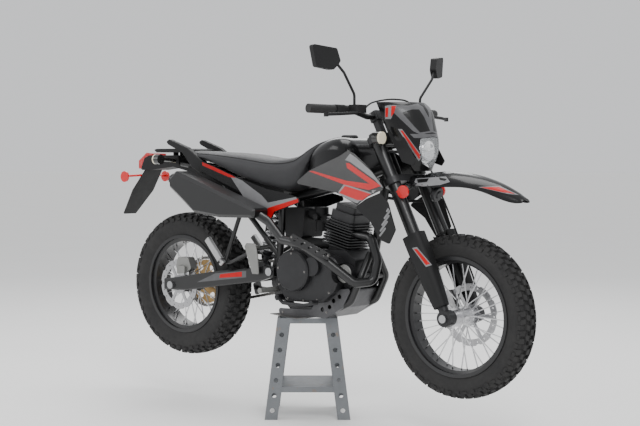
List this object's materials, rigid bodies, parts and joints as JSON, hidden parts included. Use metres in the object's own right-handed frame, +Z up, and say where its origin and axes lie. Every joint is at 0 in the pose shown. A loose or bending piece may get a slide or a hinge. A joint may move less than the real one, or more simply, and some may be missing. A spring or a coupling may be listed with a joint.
{
  "type": "dirt bike",
  "caption": "Dual-sport dirt bike with spoked wheels, knobbly tyres, upswept silencer, high fender and rear carrier, raised on a perforated lift stand.",
  "frame": {"origin": "on the floor under the middle of the whole, on the bike's centre plane", "axes": "+X to the front of the bike, +Y to its left, +Z up; Z = 0 is the floor under the lift stand"},
  "size_m": [2.1096, 0.8382, 1.4476],
  "materials": {
    "tyre_rubber": "moulded black rubber",
    "rim_black": "satin black with bright spokes",
    "brake_steel": "ground steel",
    "sprocket_bronze": "bronze coloured steel",
    "frame_black": "semi gloss black paint",
    "engine_grey": "satin dark grey castings",
    "engine_black": "satin black castings",
    "plastic_black": "textured black plastic",
    "plastic_gloss": "gloss black plastic",
    "seat_vinyl": "grained black vinyl",
    "rubber": "soft black rubber",
    "bare_alloy": "satin alloy",
    "lens_clear": "clear lens",
    "lamp_silver": "bright reflector",
    "lens_red": "red lens",
    "lens_light": "clear ribbed lens",
    "stand_grey": "grey paint",
    "exhaust_black": "satin heat proof black"
  },
  "bodies": {
    "chassis": {"chain": "brake_steel", "chain_guard": "plastic_black", "clutch_cover": "engine_black", "crankcase": "engine_black", "cylinder": "engine_grey", "exhaust_header": "exhaust_black", "foot_levers": "frame_black", "foot_pegs": "bare_alloy", "fuel_cap": "plastic_black", "fuel_tank": "plastic_gloss", "generator_cover": "engine_black", "heat_shield": "exhaust_black", "intake": "plastic_black", "lift_stand": "stand_grey", "louvre_guards": "plastic_black", "main_frame": "frame_black", "muffler": "exhaust_black", "plate_bracket": "plastic_black", "rear_axles": "brake_steel", "rear_caliper": "bare_alloy", "rear_fender": "plastic_black", "rear_indicators": "lens_light", "rear_rack": "plastic_black", "seat": "seat_vinyl", "shock_absorber": "frame_black", "side_panels": "plastic_gloss", "skid_plate": "frame_black", "stand_plate": "stand_grey", "subframe": "frame_black", "swingarm": "frame_black", "tail_light": "lens_red", "tank_shrouds": "plastic_gloss"},
    "steering": {"fork_clamps": "frame_black", "fork_tubes": "engine_black", "fork_sliders": "bare_alloy", "front_axle": "brake_steel", "fork_guards": "plastic_black", "front_caliper": "bare_alloy", "handlebar": "frame_black", "grips": "rubber", "hand_controls": "plastic_black", "mirrors": "plastic_black", "headlight_cowl": "plastic_gloss", "headlight_lens": "lens_clear", "headlight": "lamp_silver", "front_indicators": "lens_light", "front_fender": "plastic_gloss"},
    "front_wheel": {"front_tyre": "tyre_rubber", "front_rim": "rim_black", "front_disc": "brake_steel"},
    "rear_wheel": {"rear_tyre": "tyre_rubber", "rear_rim": "rim_black", "rear_disc": "brake_steel", "rear_sprocket": "sprocket_bronze"},
    "side_stand": {"side_stand": "frame_black"},
    "passenger_peg_right": {"passenger_peg_right": "bare_alloy"},
    "passenger_peg_left": {"passenger_peg_left": "bare_alloy"}
  },
  "joints": [
    {"name": "steering", "type": "hinge", "parent": "chassis", "child": "steering", "pos_m": [0.71955, 0, 0.42727], "axis": [-0.4384, 0, 0.8988], "range_deg": [-40, 40]},
    {"name": "front_wheel_spin", "type": "hinge", "parent": "steering", "child": "front_wheel", "pos_m": [0.76, 0, 0.447], "axis": [0, 1, 0], "continuous": true},
    {"name": "rear_wheel_spin", "type": "hinge", "parent": "chassis", "child": "rear_wheel", "pos_m": [-0.64, 0, 0.493], "axis": [0, 1, 0], "continuous": true},
    {"name": "side_stand_swing", "type": "hinge", "parent": "chassis", "child": "side_stand", "pos_m": [-0.112, 0.116, 0.456], "axis": [-0.1683, -0.9343, -0.3141], "range_deg": [0, 102]},
    {"name": "passenger_peg_right_fold", "type": "hinge", "parent": "chassis", "child": "passenger_peg_right", "pos_m": [-0.327, -0.142, 0.604], "axis": [0.7534, 0, 0.6575], "range_deg": [0, 90]},
    {"name": "passenger_peg_left_fold", "type": "hinge", "parent": "chassis", "child": "passenger_peg_left", "pos_m": [-0.327, 0.142, 0.604], "axis": [-0.7534, 0, -0.6575], "range_deg": [0, 90]}
  ]
}
